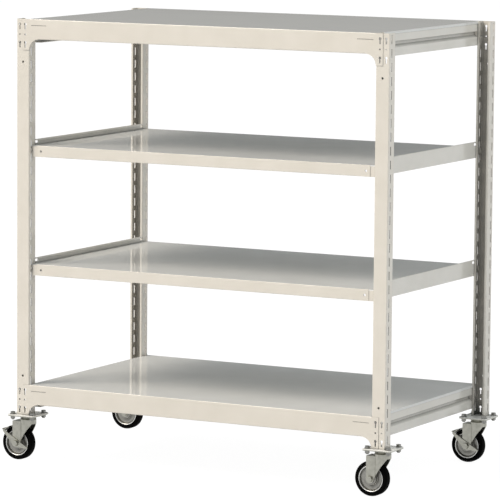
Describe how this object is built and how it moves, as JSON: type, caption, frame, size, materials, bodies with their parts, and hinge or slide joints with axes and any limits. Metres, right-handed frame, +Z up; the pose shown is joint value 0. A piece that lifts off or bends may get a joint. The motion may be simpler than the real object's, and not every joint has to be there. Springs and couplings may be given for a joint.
{
  "type": "mobile shelving rack",
  "caption": "Bolt-less steel rack on swivel casters: slotted lipped posts, gusseted deck beams, side rails and flat shelves hooked in between.",
  "frame": {"origin": "on the floor, in the middle of the outline seen from above", "axes": "+X along the width to the right as seen from the front, +Y from the front to the rear, +Z up"},
  "size_m": [1.283, 0.7264, 1.296],
  "materials": {
    "powder_coated_steel": "satin powder coat",
    "panel_steel": "gloss powder coat",
    "caster_steel": "bright zinc plate",
    "rim_steel": "bright zinc plate",
    "fastener_steel": "zinc plate",
    "bush_plastic": "matte",
    "tyre_rubber": "matte rubber"
  },
  "bodies": {
    "frame": {"post_front_left": "powder_coated_steel", "post_front_right": "powder_coated_steel", "post_rear_left": "powder_coated_steel", "post_rear_right": "powder_coated_steel", "bottom_front_beam": "powder_coated_steel", "bottom_rear_beam": "powder_coated_steel", "bottom_left_rail": "powder_coated_steel", "bottom_right_rail": "powder_coated_steel", "bottom_panel": "panel_steel", "top_front_beam": "powder_coated_steel", "top_rear_beam": "powder_coated_steel", "top_left_rail": "powder_coated_steel", "top_right_rail": "powder_coated_steel", "top_panel": "panel_steel", "lower_shelf_front_beam": "powder_coated_steel", "lower_shelf_rear_beam": "powder_coated_steel", "lower_shelf_left_rail": "powder_coated_steel", "lower_shelf_right_rail": "powder_coated_steel", "lower_shelf_panel": "panel_steel", "upper_shelf_front_beam": "powder_coated_steel", "upper_shelf_rear_beam": "powder_coated_steel", "upper_shelf_left_rail": "powder_coated_steel", "upper_shelf_right_rail": "powder_coated_steel", "upper_shelf_panel": "panel_steel", "lower_shelf_brackets": "powder_coated_steel", "upper_shelf_brackets": "powder_coated_steel", "panel_stiffeners": "panel_steel", "foot_plates": "powder_coated_steel", "plate_bolts": "fastener_steel", "plate_nuts": "fastener_steel", "kingpins": "caster_steel", "caster_plate_front_left": "caster_steel", "caster_plate_front_right": "caster_steel", "caster_plate_rear_left": "caster_steel", "caster_plate_rear_right": "caster_steel"},
    "fork_front_left": {"fork_front_left": "caster_steel", "axle_front_left": "fastener_steel", "wheel_bush_front_left": "bush_plastic"},
    "wheel_front_left": {"wheel_core_front_left": "rim_steel", "tyre_front_left": "tyre_rubber"},
    "fork_front_right": {"fork_front_right": "caster_steel", "axle_front_right": "fastener_steel", "wheel_bush_front_right": "bush_plastic"},
    "wheel_front_right": {"wheel_core_front_right": "rim_steel", "tyre_front_right": "tyre_rubber"},
    "fork_rear_left": {"fork_rear_left": "caster_steel", "axle_rear_left": "fastener_steel", "wheel_bush_rear_left": "bush_plastic"},
    "wheel_rear_left": {"wheel_core_rear_left": "rim_steel", "tyre_rear_left": "tyre_rubber"},
    "fork_rear_right": {"fork_rear_right": "caster_steel", "axle_rear_right": "fastener_steel", "wheel_bush_rear_right": "bush_plastic"},
    "wheel_rear_right": {"wheel_core_rear_right": "rim_steel", "tyre_rear_right": "tyre_rubber"},
    "brake_front_left": {"brake_lever_front_left": "caster_steel"},
    "brake_rear_right": {"brake_lever_rear_right": "caster_steel"}
  },
  "joints": [
    {"name": "swivel_front_left", "type": "hinge", "parent": "frame", "child": "fork_front_left", "pos_m": [-0.5605, -0.3182, 0.1246], "axis": [0, 0, 1], "continuous": true},
    {"name": "wheel_spin_front_left", "type": "hinge", "parent": "fork_front_left", "child": "wheel_front_left", "pos_m": [-0.5915, -0.3182, 0.05], "axis": [0, 1, 0], "continuous": true},
    {"name": "swivel_front_right", "type": "hinge", "parent": "frame", "child": "fork_front_right", "pos_m": [0.5975, -0.3182, 0.1246], "axis": [0, 0, 1], "continuous": true},
    {"name": "wheel_spin_front_right", "type": "hinge", "parent": "fork_front_right", "child": "wheel_front_right", "pos_m": [0.5665, -0.3182, 0.05], "axis": [0, 1, 0], "continuous": true},
    {"name": "swivel_rear_left", "type": "hinge", "parent": "frame", "child": "fork_rear_left", "pos_m": [-0.5605, 0.3182, 0.1246], "axis": [0, 0, 1], "continuous": true},
    {"name": "wheel_spin_rear_left", "type": "hinge", "parent": "fork_rear_left", "child": "wheel_rear_left", "pos_m": [-0.5915, 0.3182, 0.05], "axis": [0, 1, 0], "continuous": true},
    {"name": "swivel_rear_right", "type": "hinge", "parent": "frame", "child": "fork_rear_right", "pos_m": [0.5975, 0.3182, 0.1246], "axis": [0, 0, 1], "continuous": true},
    {"name": "wheel_spin_rear_right", "type": "hinge", "parent": "fork_rear_right", "child": "wheel_rear_right", "pos_m": [0.5665, 0.3182, 0.05], "axis": [0, 1, 0], "continuous": true},
    {"name": "brake_pedal_front_left", "type": "hinge", "parent": "fork_front_left", "child": "brake_front_left", "pos_m": [-0.5915, -0.3182, 0.05], "axis": [0, -1, 0], "range_deg": [0, 10]},
    {"name": "brake_pedal_rear_right", "type": "hinge", "parent": "fork_rear_right", "child": "brake_rear_right", "pos_m": [0.5665, 0.3182, 0.05], "axis": [0, -1, 0], "range_deg": [0, 10]}
  ]
}
